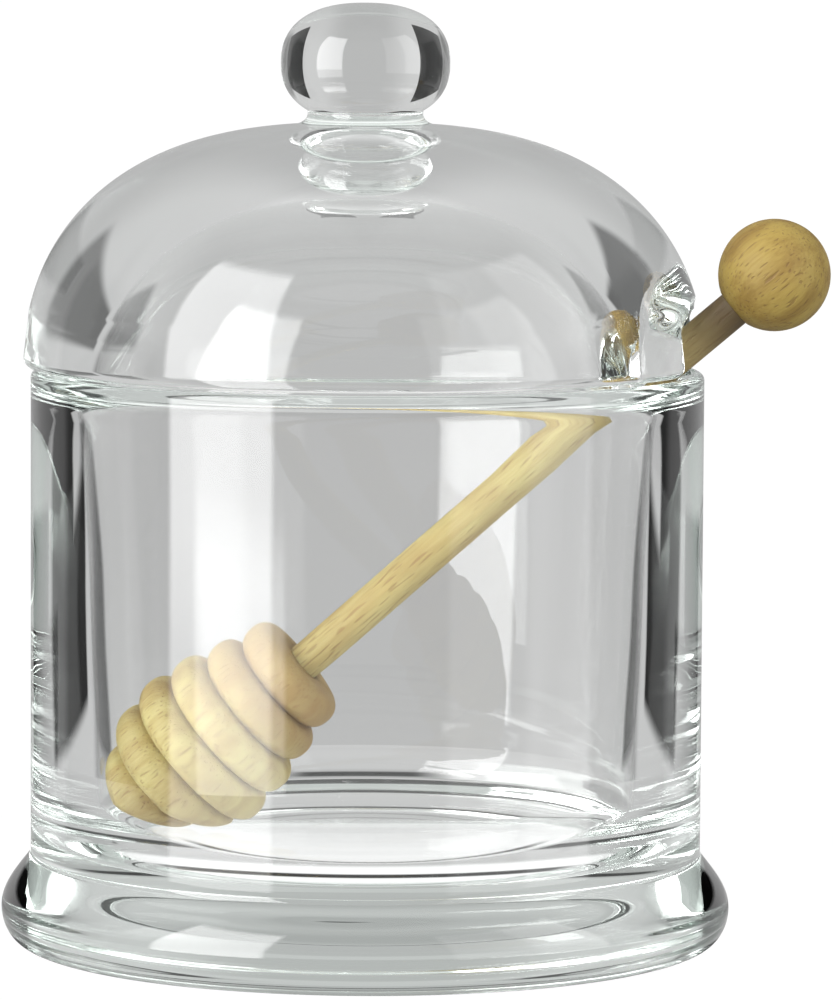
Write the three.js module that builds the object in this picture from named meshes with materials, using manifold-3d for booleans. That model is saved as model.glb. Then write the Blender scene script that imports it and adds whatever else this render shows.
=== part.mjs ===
// A heavy pressed-glass honey jar: a straight jar on a bulged foot, a domed lid with a solid
// knob and a notch in its rim, and a wooden honey dipper that leans out through the notch.
// Millimetres, +Z up. The origin is on the jar's axis, in the plane of its flat underside.
// +X points to the side where the dipper comes out, and -Y to the front.
import * as THREE from 'three';
import { mergeVertices } from 'three/addons/utils/BufferGeometryUtils.js';
import Module from 'manifold-3d';

// Driving dimensions of the jar
const footFlatRadius = 47.2;
const footRadius = 51;
const footWidestHeight = 5;
const footHeight = 12.5;
const shoulderPower = 1.1;
const jarRadius = 46.9;
const jarHeight = 80;
const rimRounding = 1;
const mouthRounding = 4.7;
const floorHeight = 12.4;
const floorFillet = 10;
const boreLowRadius = 37.7;
const boreTaper = 0.045;
const flareStart = 45;
const flareWidth = 1.6;
const flarePower = 2;

// Driving dimensions of the lid
const lidGap = 0.3;
const lidSideways = -0.5;
const lidRadius = 47.4;
const lipRounding = 1.6;
const domeBase = 81;
const domeHeight = 33.5;
const domeFullness = [2.67, 2.1];
const cavityRadius = 37.6;
const cavityHeight = 27.6;
const cavityFullness = [2.5, 2.1];
const spigotRadius = 40.5;
const spigotDepth = 3;
const spigotRounding = 0.6;
const neckRadius = 8;
const neckHeight = 115.8;
const neckFlare = 2.2;
const knobCentre = 122.8;
const knobRadius = 11.75;
const knobHalfHeight = 8.3;
const knobFullness = 2.35;

// Driving dimensions of the notch in the lid's rim
const notchHalfWidth = 14.2;
const notchHeight = 9.4;
const notchFullness = 3;
const notchTurn = 5.3;
const notchDrop = 2;
const notchInset = 8;
const notchOverrun = 20;

// Driving dimensions of the dipper, along its own axis from the tip of the head
const ringRadii = [8.4, 11.1, 11.9, 11.2, 9.7, 8.3];
const ringPitch = 5.3;
const ringFullness = 2.4;
const grooveDepth = 2.4;
const stickRadius = 2.55;
const ballRadius = 7.8;
const socketDepth = 7;
const socketGap = 0.3;
const ballCentre = { x: 56, y: -8.9, z: 94.1 };
const widestRing = { x: -22.8, y: -2.5, z: 26.8 };

// Fineness of the turned shapes
const glassSides = 52;
const headSides = 28;
const ballSides = 24;
const stickSides = 20;

const wasm = await Module();
wasm.setup();

const glass = new THREE.MeshStandardMaterial({
  color: 0xdfe8e3, roughness: 0.03, metalness: 0, transparent: true, opacity: 0.35,
});
const beech = new THREE.MeshStandardMaterial({ color: 0xcbb078, roughness: 0.62, metalness: 0 });

const degrees = (angle) => angle * Math.PI / 180;

// Points from the first to the last of steps + 1 even values of a parameter from 0 to 1
function along(steps, place) {
  return Array.from({ length: steps + 1 }, (_, i) => place(i / steps));
}

// An arc of an ellipse round (r, z), from one angle to another in degrees
function arc(r, z, halfWidth, halfHeight, from, to, steps) {
  return along(steps, (t) => {
    const angle = degrees(from + (to - from) * t);
    return [r + halfWidth * Math.cos(angle), z + halfHeight * Math.sin(angle)];
  });
}

// A stretch of a superellipse on the axis: fullness[0] shapes the radius, fullness[1] the height
function superArc(z, radius, height, fullness, from, to, steps) {
  return along(steps, (t) => {
    const angle = degrees(from + (to - from) * t);
    const rise = Math.sin(angle);
    return [
      radius * Math.max(Math.cos(angle), 0) ** (2 / fullness[0]),
      z + height * Math.sign(rise) * Math.abs(rise) ** (2 / fullness[1]),
    ];
  });
}

// A closed mesh as a solid for joining and cutting
function toSolid(geometry) {
  const bare = geometry.clone();
  bare.deleteAttribute('normal');
  bare.deleteAttribute('uv');
  const merged = mergeVertices(bare, 1e-4);
  const corners = merged.index.array;
  const kept = [];
  for (let i = 0; i < corners.length; i += 3) {
    const [a, b, c] = [corners[i], corners[i + 1], corners[i + 2]];
    if (a !== b && b !== c && c !== a) kept.push(a, b, c);
  }
  return new wasm.Manifold(new wasm.Mesh({
    numProp: 3,
    vertProperties: new Float32Array(merged.attributes.position.array),
    triVerts: new Uint32Array(kept),
  }));
}

// A solid back as a mesh geometry
function toGeometry(solid) {
  const mesh = solid.getMesh();
  const geometry = new THREE.BufferGeometry();
  geometry.setAttribute('position', new THREE.BufferAttribute(mesh.vertProperties, 3));
  geometry.setIndex(new THREE.BufferAttribute(mesh.triVerts, 1));
  geometry.computeVertexNormals();
  return geometry;
}

// A profile of [radius, height] pairs, turned about the Z axis
function turned(profile, sides) {
  const points = profile.map(([r, z]) => new THREE.Vector2(Math.max(r, 0), z));
  return new THREE.LatheGeometry(points, sides).rotateX(Math.PI / 2);
}

function named(name, geometry, material) {
  const mesh = new THREE.Mesh(geometry, material);
  mesh.name = name;
  return mesh;
}

// The jar's bore at a height: a slight taper that flares towards the mouth
function boreRadius(z) {
  const lowEnd = floorHeight + floorFillet;
  const flare = Math.max(0, (z - flareStart) / (jarHeight - flareStart));
  return boreLowRadius + boreTaper * (z - lowEnd) + flareWidth * flare ** flarePower;
}

// The jar, from the middle of its underside round the foot and the rim to the middle of its floor
function jarProfile() {
  const footBulge = footRadius - jarRadius;
  const shoulderHeight = footHeight - footWidestHeight;
  const boreLow = floorHeight + floorFillet;
  const boreHigh = jarHeight - mouthRounding;
  const mouthRadius = boreRadius(boreHigh) + mouthRounding;
  return [
    [0, 0],
    ...arc(footFlatRadius, footWidestHeight, footRadius - footFlatRadius, footWidestHeight, -90, 0, 6),
    ...along(7, (t) => [
      jarRadius + footBulge * Math.cos(Math.PI / 2 * t) ** shoulderPower,
      footWidestHeight + shoulderHeight * t,
    ]).slice(1),
    ...arc(jarRadius - rimRounding, jarHeight - rimRounding, rimRounding, rimRounding, 0, 90, 3),
    ...arc(mouthRadius, boreHigh, mouthRounding, mouthRounding, 90, 180, 4),
    ...along(9, (t) => {
      const z = boreHigh + (boreLow - boreHigh) * t;
      return [boreRadius(z), z];
    }).slice(1),
    ...arc(boreLowRadius - floorFillet, boreLow, floorFillet, floorFillet, 0, -90, 6).slice(1),
    [0, floorHeight],
  ];
}

// The lid, from the top of its cavity round the spigot, the lip and the dome to the knob's top
function lidProfile() {
  const seat = jarHeight + lidGap;
  const spigotEnd = seat - spigotDepth;
  const neckFoot = neckRadius + neckFlare;
  const domeTurn = Math.acos((neckFoot / lidRadius) ** (domeFullness[0] / 2)) * 180 / Math.PI;
  const dome = superArc(domeBase, lidRadius, domeHeight, domeFullness, 12, domeTurn, 13);
  const neckFootHeight = dome[dome.length - 1][1];
  return [
    ...superArc(spigotEnd, cavityRadius, cavityHeight, cavityFullness, 90, 0, 11),
    ...arc(spigotRadius - spigotRounding, spigotEnd + spigotRounding,
      spigotRounding, spigotRounding, -90, 0, 2),
    [spigotRadius, seat],
    ...arc(lidRadius - lipRounding, seat + lipRounding, lipRounding, lipRounding, -90, 0, 4),
    ...dome,
    ...arc(neckFoot, neckHeight, neckFlare, neckHeight - neckFootHeight, 270, 180, 3).slice(1),
    ...superArc(knobCentre, knobRadius, knobHalfHeight, [knobFullness, knobFullness], -50, 90, 13),
  ];
}

// The arched cutter for the notch: its section is half a superellipse, and it runs outwards
function notchCutter() {
  const low = jarHeight + lidGap - spigotDepth - notchDrop;
  const rise = notchHeight + spigotDepth + notchDrop;
  const power = 2 / notchFullness;
  const outline = new THREE.Shape(along(18, (t) => {
    const angle = Math.PI * t;
    const side = Math.cos(angle);
    const across = notchHalfWidth * Math.sign(side) * Math.abs(side) ** power;
    return new THREE.Vector2(across, rise * Math.sin(angle) ** power);
  }));
  const length = lidRadius - cavityRadius + notchOverrun;
  const block = new THREE.ExtrudeGeometry(outline, { depth: length, bevelEnabled: false });
  block.rotateX(Math.PI / 2);
  block.rotateZ(Math.PI / 2);
  block.translate(cavityRadius - notchInset, 0, low);
  block.rotateZ(degrees(-notchTurn));
  return toSolid(block);
}

// One ring of the head: half a superellipse between two grooves, along the dipper's axis
function ringProfile(radius, middle) {
  const depth = grooveDepth;
  return along(5, (t) => {
    const across = 2 * t - 1;
    const fullness = (1 - Math.abs(across) ** ringFullness) ** (1 / 2);
    return [radius - depth + depth * fullness, middle + across * ringPitch / 2];
  });
}

// The head: a barrel of rounded rings, with a blind socket for the stick
function headProfile() {
  const length = ringPitch * ringRadii.length;
  const rings = ringRadii.flatMap((radius, i) => {
    const ring = ringProfile(radius, ringPitch * (i + 0.5));
    return i === 0 ? ring : ring.slice(1);
  });
  return [
    [0, 0],
    ...rings,
    [stickRadius + socketGap, length],
    [stickRadius + socketGap, length - socketDepth],
    [0, length - socketDepth],
  ];
}

// The ball: a sphere on the axis with a blind socket that faces down the stick
function ballProfile() {
  const bore = stickRadius + socketGap;
  const mouth = Math.asin(bore / ballRadius) * 180 / Math.PI - 90;
  const ball = arc(0, 0, ballRadius, ballRadius, mouth, 90, 14);
  return [
    [0, socketDepth - ballRadius],
    [bore, socketDepth - ballRadius],
    ...ball,
  ];
}

const jar = named('jar', toGeometry(toSolid(turned(jarProfile(), glassSides))), glass);

const wholeLid = toSolid(turned(lidProfile(), glassSides));
const lid = named('lid', toGeometry(wholeLid.subtract(notchCutter())), glass);
lid.position.x = lidSideways;

// The dipper is built along its own axis and then laid from the widest ring to the ball
const from = new THREE.Vector3(widestRing.x, widestRing.y, widestRing.z);
const to = new THREE.Vector3(ballCentre.x, ballCentre.y, ballCentre.z);
const widestAlong = ringPitch * (ringRadii.indexOf(Math.max(...ringRadii)) + 0.5);
const ballAlong = widestAlong + from.distanceTo(to);
const headLength = ringPitch * ringRadii.length;
const stickStart = headLength - socketDepth + socketGap;
const stickEnd = ballAlong - ballRadius + socketDepth - socketGap;

const head = named('dipper_head', toGeometry(toSolid(turned(headProfile(), headSides))), beech);

const stickShape = new THREE.CylinderGeometry(
  stickRadius, stickRadius, stickEnd - stickStart, stickSides).rotateX(Math.PI / 2);
const stick = named('dipper_stick', toGeometry(toSolid(stickShape)), beech);
stick.position.z = (stickStart + stickEnd) / 2;

const ball = named('dipper_ball', toGeometry(toSolid(turned(ballProfile(), ballSides))), beech);
ball.position.z = ballAlong;

const dipper = new THREE.Group();
dipper.add(head, stick, ball);
dipper.quaternion.setFromUnitVectors(
  new THREE.Vector3(0, 0, 1), to.clone().sub(from).normalize());
const tip = new THREE.Vector3(0, 0, -widestAlong).applyQuaternion(dipper.quaternion).add(from);
dipper.position.copy(tip);

const group = new THREE.Group();
group.add(jar, lid, dipper);

export default group;
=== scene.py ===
"""Glass honey jar with a domed lid and a turned beech dipper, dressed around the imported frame.

Every piece is a surface worked out on a grid: a profile of radius and height is turned about an
axis, and the lid's rim is lifted into an arch where the dipper comes out. Lengths are in metres,
+Z is up, and the jar's axis is the Z axis.
"""
import math

import bpy
import numpy as np
from bpy.props import FloatProperty, FloatVectorProperty, PointerProperty
from mathutils import Matrix, Vector


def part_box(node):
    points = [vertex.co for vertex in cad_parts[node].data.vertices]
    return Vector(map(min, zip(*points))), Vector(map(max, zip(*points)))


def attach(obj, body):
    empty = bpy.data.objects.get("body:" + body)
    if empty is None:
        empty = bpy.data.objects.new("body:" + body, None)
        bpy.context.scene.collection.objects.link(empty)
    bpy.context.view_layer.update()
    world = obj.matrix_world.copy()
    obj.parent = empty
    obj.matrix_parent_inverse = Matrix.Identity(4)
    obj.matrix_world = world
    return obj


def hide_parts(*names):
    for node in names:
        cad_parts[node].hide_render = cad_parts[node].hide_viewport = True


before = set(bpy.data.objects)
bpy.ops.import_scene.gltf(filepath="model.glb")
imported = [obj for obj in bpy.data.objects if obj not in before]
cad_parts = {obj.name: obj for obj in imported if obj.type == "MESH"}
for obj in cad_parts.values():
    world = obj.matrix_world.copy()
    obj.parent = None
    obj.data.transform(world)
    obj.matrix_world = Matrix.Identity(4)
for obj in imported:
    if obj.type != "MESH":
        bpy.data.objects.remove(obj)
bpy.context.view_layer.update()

bl_info = {
    "name": "Glass honey jar",
    "version": (1, 0, 0),
    "blender": (4, 5, 0),
    "location": "View3D > Sidebar > Honey jar",
    "description": "Makes a glass honey jar, its lid and its wooden dipper",
    "category": "Add Mesh",
}

JAR_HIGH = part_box("jar")[1]
LID_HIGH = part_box("lid")[1]
BALL_LOW, BALL_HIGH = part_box("dipper_ball")
MM = 0.001
TO_MM = 1000


def length(name, description, default):
    """A size property in metres."""
    return FloatProperty(name=name, description=description, default=default, unit="LENGTH", precision=5)


def number(name, description, default):
    """A plain number property."""
    return FloatProperty(name=name, description=description, default=default)


def angle(name, description, degrees):
    """An angle property, given in degrees and kept in radians."""
    return FloatProperty(name=name, description=description, default=math.radians(degrees), unit="ROTATION")


def colour(name, description, default):
    """A colour property without alpha."""
    return FloatVectorProperty(
        name=name, description=description, default=default, size=3, subtype="COLOR", min=0, max=1
    )


class JarSizes(bpy.types.PropertyGroup):
    """Sizes of the jar."""

    foot_flat: length("Foot flat", "Radius of the flat underside", 47.2 * MM)
    foot_radius: length("Foot radius", "Widest radius of the foot", JAR_HIGH.x)
    foot_widest: length("Foot widest height", "Height of the foot's widest circle", 5 * MM)
    foot_height: length("Foot height", "Height of the crease over the foot", 12.5 * MM)
    radius: length("Radius", "Outer radius of the straight wall", 46.9 * MM)
    height: length("Height", "Height of the rim", JAR_HIGH.z)
    rim_rounding: length("Rim rounding", "Rounding of the rim's outer edge", 1.0 * MM)
    mouth_rounding: length("Mouth rounding", "Rounding of the rim's inner edge", 4.7 * MM)
    floor: length("Floor", "Height of the inside floor", 12.4 * MM)
    fillet: length("Fillet", "Rounding between floor and wall", 10 * MM)
    bore: length("Bore", "Inner radius over the fillet", 37.7 * MM)
    taper: number("Taper", "Widening of the bore for each unit of height", 0.045)
    flare_start: length("Flare start", "Height where the bore starts to flare", 45 * MM)
    flare: length("Flare", "How far the bore flares at the rim", 1.6 * MM)
    flare_power: number("Flare power", "How late the flare comes", 2.0)


class LidSizes(bpy.types.PropertyGroup):
    """Sizes of the lid, its knob and its notch."""

    gap: length("Gap", "Gap over the jar's rim", 0.3 * MM)
    sideways: length("Sideways", "Shift of the lid along X", -0.5 * MM)
    radius: length("Radius", "Outer radius at the lip", 47.4 * MM)
    lip: length("Lip", "Rounding of the lip", 1.6 * MM)
    dome_base: length("Dome base", "Height where the dome starts", 81 * MM)
    dome_height: length("Dome height", "Height of the dome without its knob", 33.5 * MM)
    dome_wide: number("Dome width power", "Fullness of the dome across", 2.67)
    dome_tall: number("Dome height power", "Fullness of the dome upwards", 2.1)
    cavity_radius: length("Cavity radius", "Inner radius at the spigot", 37.6 * MM)
    cavity_height: length("Cavity height", "Height of the cavity over the spigot's end", 27.6 * MM)
    cavity_wide: number("Cavity width power", "Fullness of the cavity across", 2.5)
    cavity_tall: number("Cavity height power", "Fullness of the cavity upwards", 2.1)
    spigot_radius: length("Spigot radius", "Radius of the ring that sits in the mouth", 40.5 * MM)
    spigot_depth: length("Spigot depth", "Depth of that ring under the seat", 3 * MM)
    spigot_rounding: length("Spigot rounding", "Rounding of the ring's edge", 0.6 * MM)
    neck_radius: length("Neck radius", "Radius of the neck under the knob", 8 * MM)
    neck_height: length("Neck height", "Height of the neck's waist", 115.8 * MM)
    neck_flare: length("Neck flare", "How far the neck flares into the dome", 2.2 * MM)
    knob_centre: length("Knob centre", "Height of the knob's widest circle", 122.8 * MM)
    knob_radius: length("Knob radius", "Radius of the knob", 11.75 * MM)
    knob_half: length("Knob half height", "Half the knob's height", LID_HIGH.z - 122.8 * MM)
    knob_full: number("Knob power", "Fullness of the knob", 2.35)
    notch_half: length("Notch half width", "Half the notch's width", 14.2 * MM)
    notch_height: length("Notch height", "Height of the notch over the seat", 9.4 * MM)
    notch_full: number("Notch power", "Squareness of the notch", 3.0)
    notch_turn: angle("Notch turn", "Turn of the notch from +X to the front", 5.3)
    notch_rounding: length("Notch rounding", "Rounding of the notch's edges", 1.0 * MM)


class DipperSizes(bpy.types.PropertyGroup):
    """Sizes of the dipper, along its own axis."""

    ring_pitch: length("Ring pitch", "Distance from ring to ring", 5.3 * MM)
    groove: length("Groove", "Depth of the grooves", 2.4 * MM)
    stick_radius: length("Stick radius", "Radius of the stick", 2.55 * MM)
    ball_radius: length("Ball radius", "Radius of the ball", (BALL_HIGH.z - BALL_LOW.z) / 2)
    socket_depth: length("Socket depth", "Depth of the sockets", 7 * MM)
    socket_gap: length("Socket gap", "Gap round the stick in its sockets", 0.3 * MM)


class Finishes(bpy.types.PropertyGroup):
    """Colours of the glass and the wood."""

    glass_tint: colour("Glass tint", "Colour that light takes on in thick glass", (0.82, 0.95, 0.88))
    glass_depth: number("Glass depth", "How soon the tint shows as the glass gets thicker", 4.0)
    pale_wood: colour("Pale wood", "Palest wood of the head and the stick", (0.70, 0.61, 0.25))
    deep_wood: colour("Deep wood", "Deepest wood of the head and the stick", (0.56, 0.43, 0.15))
    wood_fleck: colour("Wood flecks", "Flecks in the head and the stick", (0.32, 0.15, 0.045))
    pale_ball: colour("Pale wood of the ball", "Palest wood of the ball", (0.33, 0.236, 0.05))
    deep_ball: colour("Deep wood of the ball", "Deepest wood of the ball", (0.23, 0.145, 0.025))
    ball_fleck: colour("Flecks of the ball", "Flecks in the ball", (0.11, 0.04, 0.01))


class Studio(bpy.types.PropertyGroup):
    """The camera, the cards, the floor and the light round the object."""

    camera_distance: length("Camera distance", "From the jar's axis to the camera", 878 * MM)
    camera_height: length("Camera height", "Height of the camera over the floor", 145.1 * MM)
    camera_lens: number("Lens", "Focal length in millimetres", 227.3)
    camera_pitch: angle("Pitch", "How far the camera looks down", 5.415)
    camera_roll: angle("Roll", "Roll of the camera", 0.318)
    camera_yaw: angle("Yaw", "Turn of the camera to the right", 0.45)
    card_behind: length("Side cards", "How far the side cards stand behind the axis", 40 * MM)
    knob_card_behind: length("Knob cards", "How far the knob's cards stand behind the axis", 18 * MM)
    floor_radius: length("Floor radius", "Radius of the pale floor", 0.13)
    floor_seen: number("Floor seen directly", "Tone of the floor where nothing covers it", 1.03)
    floor_through: number("Floor through glass", "Tone of the floor seen through the glass", 0.58)
    backdrop: number("Backdrop", "Tone round the object where it is seen directly", 1.02)
    panel: number("Panel", "Tone of the grey panel behind the object", 0.48)
    left_light: number("Left light", "Strength of the tall light on the left", 7.4)
    right_light: number("Right light", "Strength of the tall light on the right", 1.15)
    right_edge: number("Right light's edge", "What that light's outer strip adds to it", 1.3)


# How many points go round a piece. The lid has its own number across the notch.
JAR_ROUND = 256
ARCH_ROUND = 181
REST_ROUND = 180
HEAD_ROUND = 160
STICK_ROUND = 96
BALL_ROUND = 128
FLOOR_ROUND = 128

# The jar: circles of its underside as shares of the flat, the power by which the foot rounds over
# into the wall, and the step up from the foot's crease to the wall's first circle.
UNDERSIDE_CIRCLES = (0, 0.5, 0.97)
SHOULDER_POWER = 1.1
CREASE = 0.4 * MM

# Degrees round the superellipse where the dome and the knob start.
DOME_START = 12
KNOB_START = -50

# The notch: how far its arch starts under the lid, how softly points are lifted to it, how far
# over it they are moved, and how far over its top each column is evened out.
ARCH_UNDER = 2 * MM
LIFT_SOFT = 0.25 * MM
LIFT_REACH = 3 * MM
EVENED_REACH = 3.5 * MM

# Columns beside the notch stand side by side: down to this share of the cavity's radius, and
# round to this azimuth, from which on they are true rays.
SIDE_BY_SIDE_SHARE = 0.9
SIDE_BY_SIDE_END = math.pi / 3

# The dipper: radii of its rings from the tip up, how full a ring is, the stick's blunt ends, and
# where the widest ring and the ball lie.
RING_RADII = np.array([8.4, 11.1, 11.9, 11.2, 9.7, 8.3]) * MM
RING_FULLNESS = 2.4
STICK_BLUNT = 0.2 * MM
WIDEST_RING = Vector((-22.8, -2.5, 26.8)) * MM
BALL_CENTRE = (BALL_LOW + BALL_HIGH) / 2

# Layers of the grain: the noise's scale, how much it is drawn out along the stick, its detail.
FIBRES = (2600.0, 0.05, 3.0)
BANDS = (420.0, 0.09, 2.0)
DASHES = (3200.0, 0.1, 0.0)
CLOUD_SCALE = 90.0
CLOUD_DETAIL = 2.0

# Where each layer of the grain starts and ends to show, and how strongly the last two tint.
DEPTH_LIMITS = (0.35, 0.68)
CLOUD_LIMITS = (0.35, 0.75)
FLECK_LIMITS = (0.64, 0.76)
CLOUD_SHARE = 0.35
FLECK_SHARE = 0.45

# Darker stretches: start and end along the dipper's axis in mm, colour, and share.
# On the head: darker and more orange towards its socket end.
HEAD_DARKENING = [(19, 27, (0.38, 0.22, 0.08), 0.65)]
# On the stick: painted shade under the ball, darker towards the ball end.
STICK_PAINTED_SHADE = [(90, 98, (0.20, 0.14, 0.06), 0.65), (99, 109, (0.07, 0.04, 0.015), 0.85)]

# Cards: near and far edge from the jar's axis, and low and high edge over the floor, in mm. Each
# black patch on a card has the same four, then its slope, its darkness, and its soft edge in mm.
SIDE_CARD = (44, 122, 2, 142)
LEFT_PATCHES = [
    (62, 92, 14, 55, 0, 1.0, 2),
    (86, 112, 14, 38, 0, 1.0, 2),
    (50, 112, 93, 112, -0.3, 0.75, 2.5),
]
RIGHT_PATCHES = [
    (65, 92, 14, 55, 0, 1.0, 2),
    (86, 112, 14, 36, 0, 1.0, 2),
    (53, 108, 104, 124, -0.3, 0.8, 2.5),
]
KNOB_CARD = (1.8, 8, 117.5, 127)
KNOB_PATCHES = [(-5, 60, 100, 140, 0, 1.0, 1)]
CARD_BLACK = (0.01, 0.01, 0.01, 1.0)

# Zones of the floor seen through the glass, in mm: painted light in the disc UNDER_JAR and the
# BACK_SPOT, a painted contact shadow in the FOOT_RING, and painted shade in the FRONT_ARC, the
# BACK_BAND and the BACK_LINE. IN_FRONT and AT_BACK limit them to the front and the back. Those of
# two numbers are the start and end of one smooth step. Those of three are a start, an end, and
# the softness of both.
UNDER_JAR = (36, 39)
IN_FRONT = (-16, -6)
AT_BACK = (10, 30)
FOOT_RING = (46.6, 50.4, 0.6)
FRONT_ARC = (27.8, 31.2, 0.7)
BACK_BAND = (60, 78, 3)
BACK_LINE = (71, 76, 1)
BACK_LINE_ACROSS = (-13, 11, 3)
BACK_SPOT = (66, 80, 2)
BACK_SPOT_ACROSS = (15, 38, 3)

# How much those zones lighten or darken the floor: the painted light lightens it, and the
# painted contact shadow and the painted shade darken it.
UNDER_JAR_PAINTED_LIGHT = 0.5
BACK_SPOT_PAINTED_LIGHT = 0.6
FOOT_RING_PAINTED_SHADOW = 0.9
FRONT_ARC_PAINTED_SHADE = 0.97
BACK_BAND_PAINTED_SHADE = 0.3
BACK_LINE_PAINTED_SHADE = 0.95

# The floor itself: its colour, how much of it glows, and how far it lies under the jar.
FLOOR_PALE = (0.93, 0.93, 0.93, 1.0)
FLOOR_GLOW_SHARE = 0.98
FLOOR_DROP = 0.05 * MM

# Zones of the light round the object, written in the same way, in degrees of azimuth from straight
# behind and of elevation. Under LEFT_FADE the left light has half its strength.
PANEL_LOW = (-26, -8)
PANEL_HIGH = (48, 66)
PANEL_WIDE = (8, 26)
FLANKS_ACROSS = (56, 90, 3)
FLANKS_UP = (-20, 24, 4)
LEFT_ACROSS = (-148, -110, 1.5)
LEFT_UP = (-20, 48, 3)
LEFT_FADE = (-8.2, -5.4)
RIGHT_ACROSS = (98, 152, 2)
RIGHT_UP = (-12, 50, 2)
RIGHT_EDGE_ACROSS = (98, 124, 3)
DEGREES = 180 / math.pi

# How much those zones lighten or darken the panel.
LOW_DARKER = 0.05
WIDE_PALER = 0.14
HIGH_PALER = 0.3
FLANKS_DARKER = 0.75

# The camera's sensor in mm and its nearest distance, and how often light is followed on.
SENSOR_WIDTH = 36
CLIP_START = 0.01
LIGHT_BOUNCES = 32
GLOSSY_BOUNCES = 16


def even(start, end, count, close=True):
    """Evenly spaced values from start to end."""
    return np.linspace(start, end, count, endpoint=close)


def arc(r, z, half_width, half_height, start, end, count):
    """An ellipse's arc: r + a cos t and z + b sin t, for t between two angles in degrees."""
    t = np.radians(even(start, end, count))
    return np.stack([r + half_width * np.cos(t), z + half_height * np.sin(t)], 1)


def round_arc(r, z, radius, start, end, count):
    """A circle's arc."""
    return arc(r, z, radius, radius, start, end, count)


def super_arc(z, radius, height, wide, tall, start, end, count):
    """A superellipse's arc on the axis: radius times cos t to 2/wide, height times sin t to 2/tall."""
    t = np.radians(even(start, end, count))
    c = np.maximum(np.cos(t), 0)
    s = np.sin(t)
    r = radius * c ** (2 / wide)
    return np.stack([r, z + height * np.sign(s) * np.abs(s) ** (2 / tall)], 1)


def join(*stretches):
    """Profile stretches end to end, without points that repeat the one before."""
    points = np.concatenate([np.atleast_2d(s) for s in stretches])
    step = np.linalg.norm(np.diff(points, axis=0), axis=1)
    return points[np.concatenate([[True], step > 1e-7])]


def closed_grid_mesh(name, grid, low_pole, high_pole):
    """A mesh of a grid of points that closes on itself across its first axis, with a fan of
    triangles to a pole at either end of its second axis."""
    around, along = grid.shape[:2]
    verts = np.concatenate([grid.reshape(-1, 3), [low_pole, high_pole]])
    i = np.arange(around)[:, None]
    j = np.arange(along - 1)[None, :]
    here = i * along + j
    there = ((i + 1) % around) * along + j
    quads = np.stack([here, there, there + 1, here + 1], -1).reshape(-1, 4)
    first = np.arange(around) * along
    after = np.roll(first, -1)
    low = np.stack([after, first, np.full(around, around * along)], 1)
    high = np.stack([first + along - 1, after + along - 1, np.full(around, around * along + 1)], 1)
    mesh = bpy.data.meshes.new(name)
    corners = np.concatenate([quads.ravel(), low.ravel(), high.ravel()])
    sizes = np.concatenate([np.full(len(quads), 4), np.full(2 * around, 3)])
    mesh.vertices.add(len(verts))
    mesh.vertices.foreach_set("co", verts.ravel().astype(np.float32))
    mesh.loops.add(len(corners))
    mesh.loops.foreach_set("vertex_index", corners.astype(np.int32))
    mesh.polygons.add(len(sizes))
    mesh.polygons.foreach_set("loop_start", np.concatenate([[0], np.cumsum(sizes)[:-1]]).astype(np.int32))
    mesh.polygons.foreach_set("use_smooth", np.ones(len(sizes), bool))
    mesh.update(calc_edges=True)
    mesh.validate()
    return mesh


def turned_grid(profile, around):
    """Each profile point at each azimuth: (r cos a, r sin a, z)."""
    a = even(0, 2 * math.pi, around, close=False)[:, None]
    r = profile[None, :, 0]
    z = np.broadcast_to(profile[None, :, 1], (around, len(profile)))
    return np.stack([r * np.cos(a), r * np.sin(a), z], -1)


def turned_mesh(name, profile, around):
    """A profile from the axis back to the axis, turned about Z."""
    grid = turned_grid(profile[1:-1], around)
    return closed_grid_mesh(name, grid, (0, 0, profile[0, 1]), (0, 0, profile[-1, 1]))


def place(mesh, material, slot, *nodes):
    """Puts a mesh into the scene as a piece that stands for the named nodes."""
    piece = bpy.data.objects.new(mesh.name, mesh)
    bpy.context.scene.collection.objects.link(piece)
    mesh.materials.append(material)
    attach(piece, "root")
    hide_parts(*nodes)


def set_up(name, mesh, material):
    """Puts a mesh into the scene as a thing of the stage."""
    mesh.materials.append(material)
    thing = bpy.data.objects.new(name, mesh)
    bpy.context.scene.collection.objects.link(thing)
    return thing


class Field:
    """A shader socket that can be used in Python sums: each operator adds a Math node."""

    def __init__(self, graph, socket):
        self.graph = graph
        self.socket = socket

    def __add__(self, other):
        return self.graph.math("ADD", self, other)

    def __radd__(self, other):
        return self.graph.math("ADD", other, self)

    def __sub__(self, other):
        return self.graph.math("SUBTRACT", self, other)

    def __rsub__(self, other):
        return self.graph.math("SUBTRACT", other, self)

    def __mul__(self, other):
        return self.graph.math("MULTIPLY", self, other)

    def __rmul__(self, other):
        return self.graph.math("MULTIPLY", other, self)

    def __pow__(self, other):
        return self.graph.math("POWER", self, other)


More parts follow.
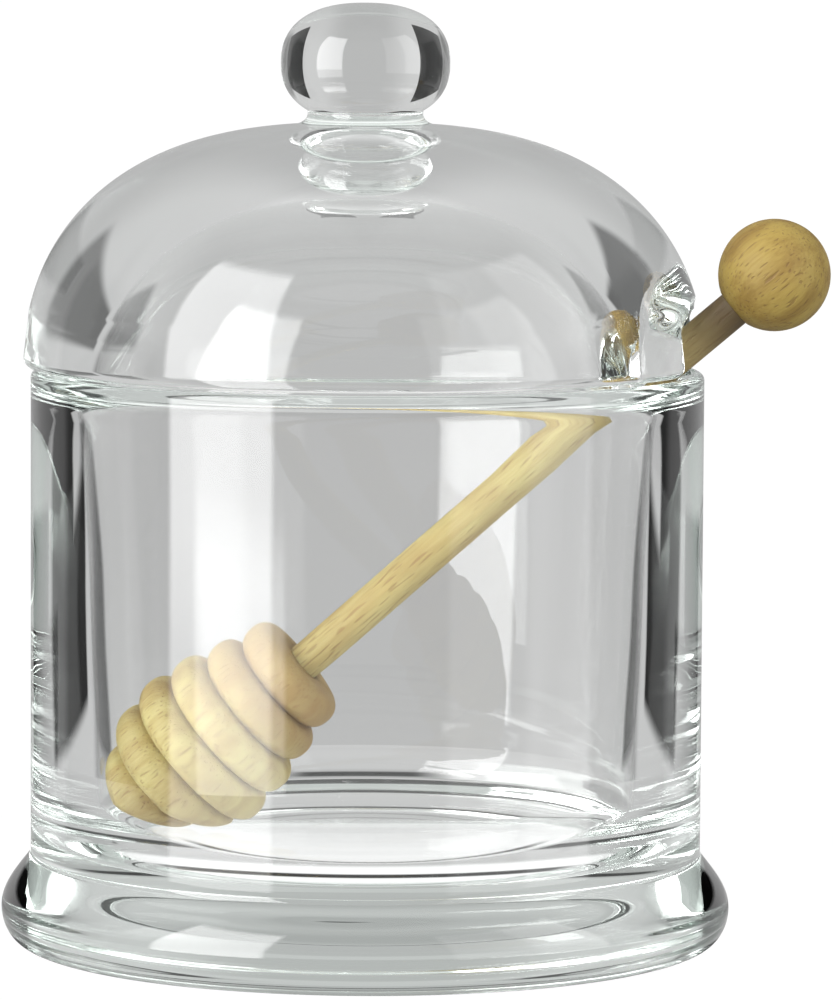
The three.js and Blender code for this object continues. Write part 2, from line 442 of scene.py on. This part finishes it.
class Graph:
    """A node tree, with one method that adds any node."""

    def __init__(self, tree):
        self.tree = tree
        tree.nodes.clear()

    def feed(self, socket, value):
        """Links a field to a socket, or sets a value on it."""
        if isinstance(value, Field):
            self.tree.links.new(value.socket, socket)
        else:
            socket.default_value = value

    def add(self, kind, settings=None, **inputs):
        """Adds a node of a type: its settings first, then the values or links of its sockets."""
        node = self.tree.nodes.new(kind)
        for key, value in (settings or {}).items():
            setattr(node, key, value)
        for key, value in inputs.items():
            self.feed(node.inputs[key.replace("_", " ")], value)
        return node

    def field(self, kind, output, settings=None, **inputs):
        """The named output of a new node, as a field."""
        node = self.add(kind, settings, **inputs)
        return Field(self, node.outputs[output])

    def math(self, operation, *values):
        """A sum on one or two values."""
        node = self.add("ShaderNodeMath", {"operation": operation})
        for socket, value in zip(node.inputs, values):
            self.feed(socket, value)
        return Field(self, node.outputs[0])

    def smooth(self, value, low, high):
        """0 below low, 1 above high, and a smooth step between them."""
        return self.field(
            "ShaderNodeMapRange", "Result", {"interpolation_type": "SMOOTHSTEP"},
            Value=value, From_Min=low, From_Max=high,
        )

    def window(self, value, low, high, soft):
        """1 between low and high and 0 outside them, with a smooth step at either end."""
        rise = self.smooth(value, low - soft, low + soft)
        return rise * (1 - self.smooth(value, high - soft, high + soft))

    def blend(self, share, first, second):
        """Mixes two colours: the first where the share is 0, and the second where it is 1."""
        node = self.add("ShaderNodeMix", {"data_type": "RGBA"})
        self.feed(node.inputs[0], share)
        self.feed(node.inputs[6], first if isinstance(first, Field) else (*first, 1))
        self.feed(node.inputs[7], second if isinstance(second, Field) else (*second, 1))
        return Field(self, node.outputs[2])

    def either(self, share, first, second):
        """Mixes two shaders: the first where the share is 0, and the second where it is 1."""
        node = self.add("ShaderNodeMixShader", Fac=share)
        self.feed(node.inputs[1], first)
        self.feed(node.inputs[2], second)
        return Field(self, node.outputs[0])

    def grey(self, tone):
        """A grey colour of a tone, which may be brighter than white."""
        return self.field("ShaderNodeCombineColor", "Color", Red=tone, Green=tone, Blue=tone)

    def apart(self, vector):
        """The X, Y and Z of a vector."""
        node = self.add("ShaderNodeSeparateXYZ", Vector=vector)
        return [Field(self, socket) for socket in node.outputs]


def new_material(name):
    """An empty material and its graph."""
    material = bpy.data.materials.new(name)
    material.use_nodes = True
    return material, Graph(material.node_tree)


def glass_material():
    """Clear glass with a faint green cast in its depth and the least unevenness on its surface.
    The jar and the lid share it."""
    made = bpy.data.materials.get("glass_body")
    if made:
        return made
    s = bpy.context.scene.honey_finishes
    material, graph = new_material("glass_body")
    position = graph.field("ShaderNodeTexCoord", "Object")
    ripple = graph.field("ShaderNodeTexNoise", "Fac", Vector=position, Scale=45.0, Detail=1.0)
    bump = graph.field("ShaderNodeBump", "Normal", Height=ripple, Strength=0.05, Distance=0.8 * MM)
    surface = graph.field(
        "ShaderNodeBsdfPrincipled", "BSDF", Base_Color=(1.0, 1.0, 1.0, 1.0), Roughness=0.0,
        IOR=1.5, Transmission_Weight=1.0, Normal=bump,
    )
    depth = graph.field(
        "ShaderNodeVolumeAbsorption", "Volume", Color=(*s.glass_tint, 1.0), Density=s.glass_depth
    )
    graph.add("ShaderNodeOutputMaterial", Surface=surface, Volume=depth)
    return material


def widest_along():
    """Where the widest ring is along the dipper's axis, from the head's tip."""
    return bpy.context.scene.honey_dipper.ring_pitch * (int(RING_RADII.argmax()) + 0.5)


def ball_along():
    """Where the ball's centre is along the dipper's axis, from the head's tip."""
    return widest_along() + (BALL_CENTRE - WIDEST_RING).length


def dipper_matrix():
    """The turn and place that carry the dipper's own axis into the frame."""
    direction = BALL_CENTRE - WIDEST_RING
    turn = Vector((0, 0, 1)).rotation_difference(direction.normalized()).to_matrix().to_4x4()
    return Matrix.Translation(WIDEST_RING) @ turn @ Matrix.Translation((0, 0, -widest_along()))


def beech_material(name, pale, deep, fleck, darker_stretches=()):
    """Beech: long fibres along the dipper's axis, broad bands, and short dark flecks. Each darker
    stretch darkens the wood from one place along the axis to another; those on the stick are
    painted shade under the ball."""
    material, graph = new_material(name)
    back = dipper_matrix().inverted()
    position = graph.field("ShaderNodeTexCoord", "Object")
    own = graph.field(
        "ShaderNodeMapping", "Vector", Vector=position, Rotation=tuple(back.to_euler()),
        Location=tuple(back.to_translation()),
    )

    def grain(scale, drawn_out, detail):
        """Noise that is drawn out along the dipper's axis."""
        drawn = graph.field("ShaderNodeMapping", "Vector", Vector=own, Scale=(1.0, 1.0, drawn_out))
        return graph.field("ShaderNodeTexNoise", "Fac", Vector=drawn, Scale=scale, Detail=detail)

    fibres = grain(*FIBRES)
    bands = grain(*BANDS)
    cloud = graph.field("ShaderNodeTexNoise", "Fac", Vector=own, Scale=CLOUD_SCALE, Detail=CLOUD_DETAIL)
    flecks = graph.smooth(grain(*DASHES), *FLECK_LIMITS)
    depth = graph.smooth(bands * 0.7 + fibres * 0.3, *DEPTH_LIMITS)
    patches = graph.smooth(cloud, *CLOUD_LIMITS)
    wood = graph.blend(depth, pale, deep)
    wood = graph.blend(patches * CLOUD_SHARE, wood, fleck)
    wood = graph.blend(flecks * FLECK_SHARE, wood, fleck)
    along = graph.apart(own)[2] * TO_MM
    # Each stretch blends the wood towards its darker colour; on the stick this is painted shade under the
    # ball.
    for start, end, darker_colour, share in darker_stretches:
        wood = graph.blend(graph.smooth(along, start, end) * share, wood, darker_colour)
    relief = fibres * 0.6 - flecks * 0.5 + bands * 0.3
    bump = graph.field("ShaderNodeBump", "Normal", Height=relief, Strength=0.5, Distance=0.3 * MM)
    surface = graph.field(
        "ShaderNodeBsdfPrincipled", "BSDF", Base_Color=wood, Roughness=0.5 + fibres * 0.2, Normal=bump
    )
    graph.add("ShaderNodeOutputMaterial", Surface=surface)
    return material


def bore_radius(z):
    """The jar's bore: a straight taper plus a flare that grows with a power of the height."""
    s = bpy.context.scene.honey_jar
    flare = np.clip((z - s.flare_start) / (s.height - s.flare_start), 0, None)
    return s.bore + s.taper * (z - s.floor - s.fillet) + s.flare * flare ** s.flare_power


def jar_profile():
    """The jar from the middle of its underside round the foot and rim to the middle of its floor.
    Over its widest circle the foot stands out by the bulge times a power of cos t."""
    s = bpy.context.scene.honey_jar
    bulge = s.foot_radius - s.radius
    rise = even(0, 1, 20)
    shoulder = s.radius + bulge * np.cos(np.pi / 2 * rise) ** SHOULDER_POWER
    wall = even(s.foot_height + CREASE, s.height - s.rim_rounding, 8)
    low = s.floor + s.fillet
    high = s.height - s.mouth_rounding
    mouth = float(bore_radius(high)) + s.mouth_rounding
    inside = even(high, low, 40)
    return join(
        [[s.foot_flat * share, 0] for share in UNDERSIDE_CIRCLES],
        arc(s.foot_flat, s.foot_widest, s.foot_radius - s.foot_flat, s.foot_widest, -90, 0, 18),
        np.stack([shoulder, s.foot_widest + (s.foot_height - s.foot_widest) * rise], 1),
        np.stack([np.full(8, s.radius), wall], 1),
        round_arc(s.radius - s.rim_rounding, s.height - s.rim_rounding, s.rim_rounding, 0, 90, 9),
        round_arc(mouth, high, s.mouth_rounding, 90, 180, 12),
        np.stack([bore_radius(inside), inside], 1),
        round_arc(s.bore - s.fillet, low, s.fillet, 0, -90, 24),
        [[(s.bore - s.fillet) * 0.5, s.floor], [0, s.floor]],
    )


def dome_radius(z, base, radius, height, wide, tall):
    """The radius of a superellipse dome at a height, held at its base radius below the base."""
    rise = np.clip((z - base) / height, 0, 1)
    return radius * (1 - rise ** tall) ** (1 / wide)


def lid_seat():
    """The height of the lid's seat, a gap over the jar's rim."""
    return bpy.context.scene.honey_jar.height + bpy.context.scene.honey_lid.gap


def lid_profile():
    """The lid from the top of its cavity round the spigot, lip and dome to the top of the knob."""
    s = bpy.context.scene.honey_lid
    seat = lid_seat()
    end = seat - s.spigot_depth
    neck_foot = s.neck_radius + s.neck_flare
    dome_end = math.degrees(math.acos((neck_foot / s.radius) ** (s.dome_wide / 2)))
    dome = super_arc(
        s.dome_base, s.radius, s.dome_height, s.dome_wide, s.dome_tall, DOME_START, dome_end, 84
    )
    edge = s.spigot_rounding
    return join(
        super_arc(end, s.cavity_radius, s.cavity_height, s.cavity_wide, s.cavity_tall, 90, 0, 78),
        round_arc(s.spigot_radius - edge, end + edge, edge, -90, 0, 6),
        [[s.spigot_radius, seat]],
        round_arc(s.radius - s.lip, seat + s.lip, s.lip, -90, 0, 12),
        dome,
        arc(neck_foot, s.neck_height, s.neck_flare, s.neck_height - dome[-1, 1], 270, 180, 10),
        super_arc(
            s.knob_centre, s.knob_radius, s.knob_half, s.knob_full, s.knob_full, KNOB_START, 90, 48
        ),
    )


def lid_columns():
    """Azimuths of the lid's columns, and the height under which each one is cut away. Across the
    notch the columns follow the arch: half a superellipse, evenly spaced in its own angle."""
    s = bpy.context.scene.honey_lid
    low = lid_seat() - s.spigot_depth - ARCH_UNDER
    t = even(0, np.pi, ARCH_ROUND)
    across = s.notch_half * np.sign(np.cos(t)) * np.abs(np.cos(t)) ** (2 / s.notch_full)
    arch = low + (s.notch_height + s.spigot_depth + ARCH_UNDER) * np.sin(t) ** (2 / s.notch_full)
    inside = np.arcsin(across / s.radius)[::-1]
    outside = even(inside[-1], inside[0] + 2 * np.pi, REST_ROUND + 2)[1:-1]
    return np.concatenate([inside, outside]), np.concatenate([arch[::-1], np.full(REST_ROUND, low)])


def evened(r, z):
    """The same path of points, spaced evenly along its length."""
    run = np.concatenate([[0], np.cumsum(np.hypot(np.diff(r), np.diff(z)))])
    want = even(0, run[-1], len(r))
    return np.interp(want, run, r), np.interp(want, run, z)


def lifted_columns(profile, arch):
    """The lid's radii and heights, column by column, with every point under the arch lifted to it.
    The lift is a rounded maximum, half of z + limit + the root of (z - limit) squared + soft
    squared, and the radius stays between the inner and the outer wall."""
    s = bpy.context.scene.honey_lid
    seat = lid_seat()
    end = seat - s.spigot_depth
    r = np.broadcast_to(profile[None, :, 0], (len(arch), len(profile))).copy()
    z = np.broadcast_to(profile[None, :, 1], r.shape).copy()
    limit = arch[:, None]
    cut = limit > end
    lifted = 0.5 * (z + limit + np.sqrt((z - limit) ** 2 + LIFT_SOFT ** 2))
    z = np.where(cut & (z < limit + LIFT_REACH), lifted, z)
    inner = dome_radius(z, end, s.cavity_radius, s.cavity_height, s.cavity_wide, s.cavity_tall)
    outer = dome_radius(z, s.dome_base, s.radius, s.dome_height, s.dome_wide, s.dome_tall)
    over = np.clip((z - limit) / s.notch_rounding, 0, 1)
    edge = s.notch_rounding * (1 - np.sqrt(1 - (1 - over) ** 2))
    near = cut & (z < limit + s.notch_rounding)
    r = np.where(near, np.clip(r, inner + edge, outer - edge), r)
    low_part = np.flatnonzero(profile[:, 1] < seat + s.notch_height + EVENED_REACH)
    part = slice(low_part[0], low_part[-1] + 1)
    for column in np.flatnonzero(arch > end):
        r[column, part], z[column, part] = evened(r[column, part], z[column, part])
    return r, z


def column_azimuths(azimuth, r):
    """The azimuth of every point. Across the notch the columns stand side by side, so that the
    notch is as wide inside as outside, and away from it they spread out into true rays."""
    s = bpy.context.scene.honey_lid
    turned = ((azimuth + np.pi) % (2 * np.pi) - np.pi)[:, None]
    reach = s.radius / np.maximum(r, s.cavity_radius * SIDE_BY_SIDE_SHARE)
    side = math.asin(s.notch_half / s.radius)
    parallel = np.arcsin(np.sin(np.clip(turned, -side, side)) * reach)
    past = np.clip((np.abs(turned) - side) / (SIDE_BY_SIDE_END - side), 0, 1)
    ray = np.sign(turned) * np.maximum(np.abs(turned), SIDE_BY_SIDE_END)
    return parallel * (1 - past) + np.where(past > 0, ray, 0) * past


def lid_mesh():
    """The lid: its profile turned about Z, lifted into the arch of the notch, then turned to where
    the dipper comes out and shifted sideways."""
    s = bpy.context.scene.honey_lid
    profile = lid_profile()
    azimuth, arch = lid_columns()
    r, z = lifted_columns(profile[1:-1], arch)
    a = column_azimuths(azimuth, r) - s.notch_turn
    grid = np.stack([s.sideways + r * np.cos(a), r * np.sin(a), z], -1)
    low = (s.sideways, 0, profile[0, 1])
    high = (s.sideways, 0, profile[-1, 1])
    return closed_grid_mesh("lid_glass", grid, low, high)


def head_profile():
    """The head: a barrel of rounded rings, with a blind socket for the stick. Across a ring, from
    -1 to 1, the radius falls by the groove's depth times 1 less the root of 1 less a power of t."""
    s = bpy.context.scene.honey_dipper
    t = even(-1, 1, 25)
    fullness = np.sqrt(np.clip(1 - np.abs(t) ** RING_FULLNESS, 0, 1))
    rings = [
        np.stack([radius - s.groove * (1 - fullness), s.ring_pitch * (i + 0.5 + t / 2)], 1)
        for i, radius in enumerate(RING_RADII)
    ]
    top = s.ring_pitch * len(RING_RADII)
    bore = s.stick_radius + s.socket_gap
    return join([[0, 0]], *rings, [[bore, top], [bore, top - s.socket_depth], [0, top - s.socket_depth]])


def stick_profile():
    """The stick: a plain round rod between its two sockets."""
    s = bpy.context.scene.honey_dipper
    start = s.ring_pitch * len(RING_RADII) - s.socket_depth + s.socket_gap
    end = ball_along() - s.ball_radius + s.socket_depth - s.socket_gap
    side = even(start + STICK_BLUNT, end - STICK_BLUNT, 60)
    return join(
        [[0, start], [s.stick_radius - STICK_BLUNT, start]],
        np.stack([np.full(60, s.stick_radius), side], 1),
        [[s.stick_radius - STICK_BLUNT, end], [0, end]],
    )


def ball_profile():
    """The ball: a sphere with a blind socket that faces down the stick."""
    s = bpy.context.scene.honey_dipper
    bore = s.stick_radius + s.socket_gap
    mouth = math.degrees(math.asin(bore / s.ball_radius)) - 90
    low = s.socket_depth - s.ball_radius
    return join([[0, low], [bore, low]], round_arc(0, 0, s.ball_radius, mouth, 90, 80))


def laid_mesh(name, profile, around, shift=0.0):
    """A profile turned about the dipper's own axis and laid in its place."""
    mesh = turned_mesh(name, profile + [0, shift], around)
    mesh.transform(dipper_matrix())
    return mesh


class HONEYJAR_OT_jar(bpy.types.Operator):
    """Makes the jar of clear glass."""

    bl_idname = "honeyjar.jar"
    bl_label = "Jar"

    def execute(self, context):
        place(turned_mesh("jar_glass", jar_profile(), JAR_ROUND), glass_material(), "clear_glass", "jar")
        return {"FINISHED"}


class HONEYJAR_OT_lid(bpy.types.Operator):
    """Makes the lid of clear glass, with its knob and its notch."""

    bl_idname = "honeyjar.lid"
    bl_label = "Lid"

    def execute(self, context):
        place(lid_mesh(), glass_material(), "clear_glass", "lid")
        return {"FINISHED"}


class HONEYJAR_OT_dipper(bpy.types.Operator):
    """Makes the dipper of beech: its ringed head, its stick and its ball."""

    bl_idname = "honeyjar.dipper"
    bl_label = "Dipper"

    def execute(self, context):
        s = context.scene.honey_finishes
        tones = (s.pale_wood, s.deep_wood, s.wood_fleck)
        head_beech = beech_material("head_beech", *tones, HEAD_DARKENING)
        # The stick's wood carries painted shade towards the ball.
        stick_beech = beech_material("stick_beech", *tones, STICK_PAINTED_SHADE)
        ball_beech = beech_material("tanned_beech", s.pale_ball, s.deep_ball, s.ball_fleck)
        head = laid_mesh("head_wood", head_profile(), HEAD_ROUND)
        place(head, head_beech, "beech_wood", "dipper_head")
        stick = laid_mesh("stick_wood", stick_profile(), STICK_ROUND)
        place(stick, stick_beech, "beech_wood", "dipper_stick")
        ball = laid_mesh("ball_wood", ball_profile(), BALL_ROUND, ball_along())
        place(ball, ball_beech, "beech_wood", "dipper_ball")
        return {"FINISHED"}


def floor_material():
    """The floor. Seen directly it is plain and pale. Seen through the glass it is grey, with painted
    light and painted shade: a paler disc of painted light under the jar, a dark ring of painted
    contact shadow under the foot's edge, a thin dark arc of painted shade in front of the middle,
    and behind the jar a dim band of painted shade with a dark line of painted shade and a pale spot
    of painted light. They give the glass its thin dark lines."""
    s = bpy.context.scene.honey_studio
    material, graph = new_material("pale_floor")
    matt = graph.field("ShaderNodeBsdfDiffuse", "BSDF", Color=FLOOR_PALE)
    glow = graph.field("ShaderNodeEmission", "Emission", Color=(1.0, 1.0, 1.0, 1.0), Strength=s.floor_seen)
    plain = graph.either(FLOOR_GLOW_SHARE, matt, glow)
    x, y, _ = graph.apart(graph.field("ShaderNodeTexCoord", "Object"))
    reach = (x * x + y * y) ** 0.5 * TO_MM
    across = x * TO_MM
    depth = y * TO_MM
    # Masks of the painted light (under, spot), the painted contact shadow (ring) and the painted shade
    # (front_arc, band, line).
    under = 1 - graph.smooth(reach, *UNDER_JAR)
    front = 1 - graph.smooth(depth, *IN_FRONT)
    back = graph.smooth(depth, *AT_BACK)
    ring = graph.window(reach, *FOOT_RING)
    front_arc = graph.window(reach, *FRONT_ARC) * front
    band = graph.window(reach, *BACK_BAND) * back
    line = graph.window(reach, *BACK_LINE) * graph.window(across, *BACK_LINE_ACROSS) * back
    spot = graph.window(reach, *BACK_SPOT) * graph.window(across, *BACK_SPOT_ACROSS) * back
    # The grey is lightened by the painted light and darkened by the painted contact shadow and the painted
    # shade.
    tone = s.floor_through + under * UNDER_JAR_PAINTED_LIGHT + spot * BACK_SPOT_PAINTED_LIGHT
    tone = tone * (1 - ring * FOOT_RING_PAINTED_SHADOW) * (1 - front_arc * FRONT_ARC_PAINTED_SHADE)
    tone = tone * (1 - band * BACK_BAND_PAINTED_SHADE) * (1 - line * BACK_LINE_PAINTED_SHADE)
    through = graph.field("ShaderNodeEmission", "Emission", Color=graph.grey(tone), Strength=1.0)
    seen = graph.field("ShaderNodeLightPath", "Is Camera Ray")
    graph.add("ShaderNodeOutputMaterial", Surface=graph.either(seen, through, plain))
    return material


def studio_world():
    """The light round the object, by direction: a grey panel behind that gets paler to the sides
    and overhead, darker flanks beside it, and two tall soft lights in front, a strong one on the
    left and a weaker one on the right. Seen directly it is white."""
    s = bpy.context.scene.honey_studio
    world = bpy.data.worlds.new("studio")
    world.use_nodes = True
    graph = Graph(world.node_tree)
    x, y, z = graph.apart(graph.field("ShaderNodeTexCoord", "Generated"))
    azimuth = graph.math("ARCTAN2", x, y) * DEGREES
    elevation = graph.math("ARCSINE", z) * DEGREES
    side = graph.math("ABSOLUTE", azimuth)
    low = 1 - graph.smooth(elevation, *PANEL_LOW)
    high = graph.smooth(elevation, *PANEL_HIGH)
    wide = graph.smooth(side, *PANEL_WIDE)
    flanks = graph.window(side, *FLANKS_ACROSS) * graph.window(elevation, *FLANKS_UP)
    panel = s.panel - low * LOW_DARKER + wide * WIDE_PALER + high * HIGH_PALER
    panel = panel * (1 - flanks * FLANKS_DARKER)
    left = graph.window(azimuth, *LEFT_ACROSS) * graph.window(elevation, *LEFT_UP)
    fading = graph.smooth(elevation, *LEFT_FADE) * 0.5 + 0.5
    right = graph.window(azimuth, *RIGHT_ACROSS) * graph.window(elevation, *RIGHT_UP)
    edge = graph.window(azimuth, *RIGHT_EDGE_ACROSS)
    light = panel + left * fading * s.left_light + right * (s.right_light + edge * s.right_edge)
    seen = graph.field("ShaderNodeLightPath", "Is Camera Ray")
    tone = light * (1 - seen) + seen * s.backdrop
    sky = graph.field("ShaderNodeBackground", "Background", Color=graph.grey(tone), Strength=1.0)
    graph.add("ShaderNodeOutputWorld", Surface=sky)
    return world


def card_material(name, side, patches):
    """A clear card with black patches: each patch is a band between two heights, which may slope
    with the distance from the jar's axis, and has its own darkness."""
    material, graph = new_material(name)
    x, _, z = graph.apart(graph.field("ShaderNodeTexCoord", "Object"))
    outward = x * TO_MM * side
    height = z * TO_MM
    shade = None
    for near, far, low, high, slope, darkness, soft in patches:
        lifted = height + (outward - near) * slope
        patch = graph.window(outward, near, far, soft) * graph.window(lifted, low, high, soft) * darkness
        shade = patch if shade is None else graph.math("MAXIMUM", shade, patch)
    clear = graph.field("ShaderNodeBsdfTransparent", "BSDF")
    black = graph.field("ShaderNodeBsdfDiffuse", "BSDF", Color=CARD_BLACK)
    graph.add("ShaderNodeOutputMaterial", Surface=graph.either(shade, clear, black))
    return material


def card(name, side, behind, outline, patches):
    """A card that stands across the view behind the jar, to one side of it, and darkens the
    glass's edges. The camera doesn't see it."""
    near, far, low, high = outline
    corners = [(near, low), (far, low), (far, high), (near, high)]
    verts = [(side * out * MM, behind, up * MM) for out, up in corners]
    mesh = bpy.data.meshes.new(name)
    mesh.from_pydata(verts, [], [[0, 1, 2, 3]])
    set_up(name, mesh, card_material(name, side, patches)).visible_camera = False


def stage_floor():
    """A round floor: a fan of triangles about its middle."""
    rim = turned_grid(np.array([[bpy.context.scene.honey_studio.floor_radius, 0]]), FLOOR_ROUND)[:, 0]
    verts = np.concatenate([rim, [[0, 0, 0]]]) - [0, 0, FLOOR_DROP]
    faces = [(i, (i + 1) % FLOOR_ROUND, FLOOR_ROUND) for i in range(FLOOR_ROUND)]
    mesh = bpy.data.meshes.new("floor")
    mesh.from_pydata(verts.tolist(), [], faces)
    set_up("floor", mesh, floor_material())


def stage_camera():
    """The camera: turned about Z, tilted down, and rolled, at its distance in front."""
    s = bpy.context.scene.honey_studio
    data = bpy.data.cameras.new("camera")
    data.lens = s.camera_lens
    data.sensor_width = SENSOR_WIDTH
    data.clip_start = CLIP_START
    camera = bpy.data.objects.new("camera", data)
    yaw = Matrix.Rotation(-s.camera_yaw, 4, "Z")
    pitch = Matrix.Rotation(math.pi / 2 - s.camera_pitch, 4, "X")
    roll = Matrix.Rotation(s.camera_roll, 4, "Z")
    stand = Matrix.Translation((0, -s.camera_distance, s.camera_height))
    camera.matrix_world = stand @ yaw @ pitch @ roll
    bpy.context.scene.collection.objects.link(camera)
    bpy.context.scene.camera = camera


class HONEYJAR_OT_stage(bpy.types.Operator):
    """Sets up the pale floor, the black cards, the soft light and the camera."""

    bl_idname = "honeyjar.stage"
    bl_label = "Stage"

    def execute(self, context):
        scene = context.scene
        s = scene.honey_studio
        stage_floor()
        for side, word, patches in ((-1, "left", LEFT_PATCHES), (1, "right", RIGHT_PATCHES)):
            card("side_card_" + word, side, s.card_behind, SIDE_CARD, patches)
            card("knob_card_" + word, side, s.knob_card_behind, KNOB_CARD, KNOB_PATCHES)
        scene.world = studio_world()
        stage_camera()
        scene.view_settings.view_transform = "Standard"
        scene.cycles.max_bounces = LIGHT_BOUNCES
        scene.cycles.transmission_bounces = LIGHT_BOUNCES
        scene.cycles.glossy_bounces = GLOSSY_BOUNCES
        scene.cycles.use_denoising = True
        return {"FINISHED"}


class HONEYJAR_PT_panel(bpy.types.Panel):
    """Lists the operators and the sizes in the sidebar."""

    bl_idname = "HONEYJAR_PT_panel"
    bl_label = "Honey jar"
    bl_space_type = "VIEW_3D"
    bl_region_type = "UI"
    bl_category = "Honey jar"

    def draw(self, context):
        for step in STEPS:
            self.layout.operator(step.bl_idname)
        for group in GROUPS:
            sizes = getattr(context.scene, group)
            for key in sizes.bl_rna.properties.keys():
                if key not in ("rna_type", "name"):
                    self.layout.prop(sizes, key)


GROUPS = {
    "honey_jar": JarSizes,
    "honey_lid": LidSizes,
    "honey_dipper": DipperSizes,
    "honey_finishes": Finishes,
    "honey_studio": Studio,
}
STEPS = (HONEYJAR_OT_jar, HONEYJAR_OT_lid, HONEYJAR_OT_dipper, HONEYJAR_OT_stage)
CLASSES = (*GROUPS.values(), *STEPS, HONEYJAR_PT_panel)


def register():
    for cls in CLASSES:
        bpy.utils.register_class(cls)
    for name, group in GROUPS.items():
        setattr(bpy.types.Scene, name, PointerProperty(type=group))


def unregister():
    for name in GROUPS:
        delattr(bpy.types.Scene, name)
    for cls in reversed(CLASSES):
        bpy.utils.unregister_class(cls)


def main():
    register()
    bpy.ops.honeyjar.jar()
    bpy.ops.honeyjar.lid()
    bpy.ops.honeyjar.dipper()
    bpy.ops.honeyjar.stage()


if __name__ == "__main__":
    main()
